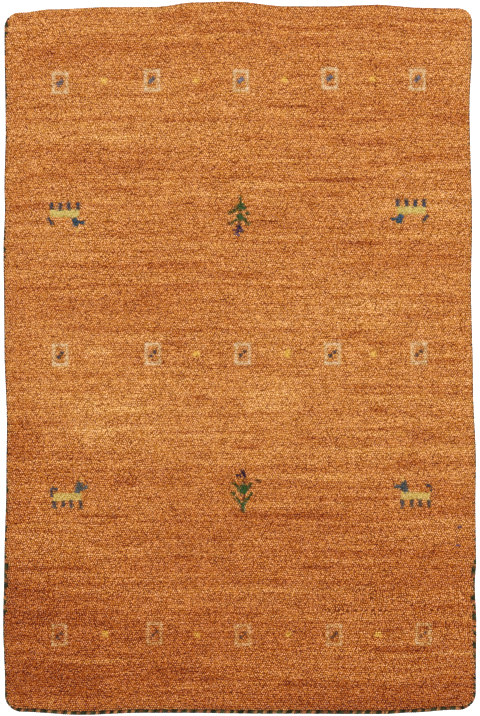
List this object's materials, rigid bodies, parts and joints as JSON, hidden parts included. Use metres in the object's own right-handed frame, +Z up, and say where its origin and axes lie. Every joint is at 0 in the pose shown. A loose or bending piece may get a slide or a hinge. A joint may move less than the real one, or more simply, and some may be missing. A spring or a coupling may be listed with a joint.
{
  "type": "rug",
  "caption": "Small hand-knotted wool pile rug lying flat, with an overcast edge all round and boxes, goats and plants in a rust field",
  "frame": {"origin": "centre of the bounding box's bottom face, on the floor under the middle of the rug", "axes": "+X to the right of the picture, +Y towards the picture's top along the rug's length, +Z up out of the pile"},
  "size_m": [0.6018, 0.9064, 0.0134],
  "materials": {
    "pile_wool": "cut wool pile, rust to golden orange in thin streaks along the rows, matt",
    "binding_wool": "overcast wool yarn, dark green and rust by turns, matt"
  },
  "bodies": {
    "root": {"knotted_field": "pile_wool", "binding_left": "binding_wool", "binding_right": "binding_wool", "binding_top": "binding_wool", "binding_bottom": "binding_wool"}
  },
  "joints": []
}
